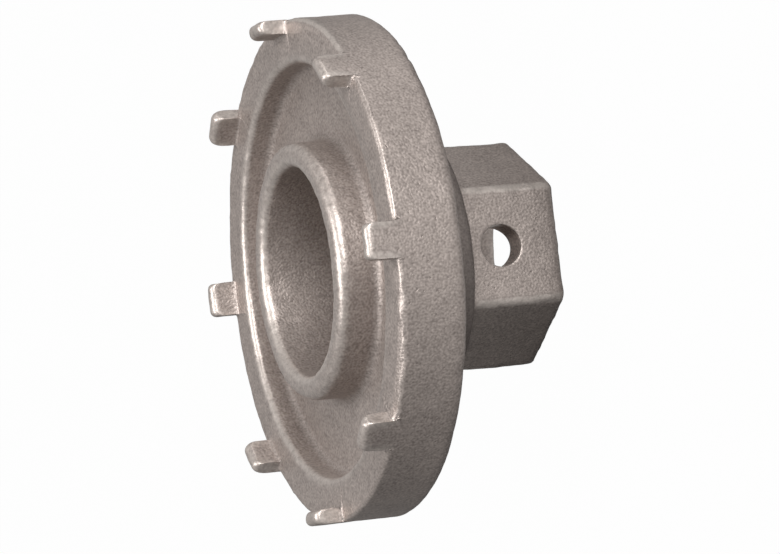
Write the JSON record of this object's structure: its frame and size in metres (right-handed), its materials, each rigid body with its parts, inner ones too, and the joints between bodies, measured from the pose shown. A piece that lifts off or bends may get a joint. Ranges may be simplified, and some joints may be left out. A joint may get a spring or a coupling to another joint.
{
  "type": "bottom bracket tool",
  "caption": "Cast steel lockring tool: round disc with prongs on its front rim, recessed web, bored collar and a hollow hexagon with a cross hole for a spanner.",
  "frame": {"origin": "centre of the hexagon's end face, which the tool stands on", "axes": "+Z along the tool's axis towards the prongs, +X along the cross hole, square to a pair of the hexagon's flats and through the middle of a prong"},
  "size_m": [0.0604, 0.0604, 0.0312],
  "materials": {
    "cast_steel": "bead-blasted cast steel, bare, warm grey with bright worn edges"
  },
  "bodies": {
    "root": {"tool_body": "cast_steel"}
  },
  "joints": []
}
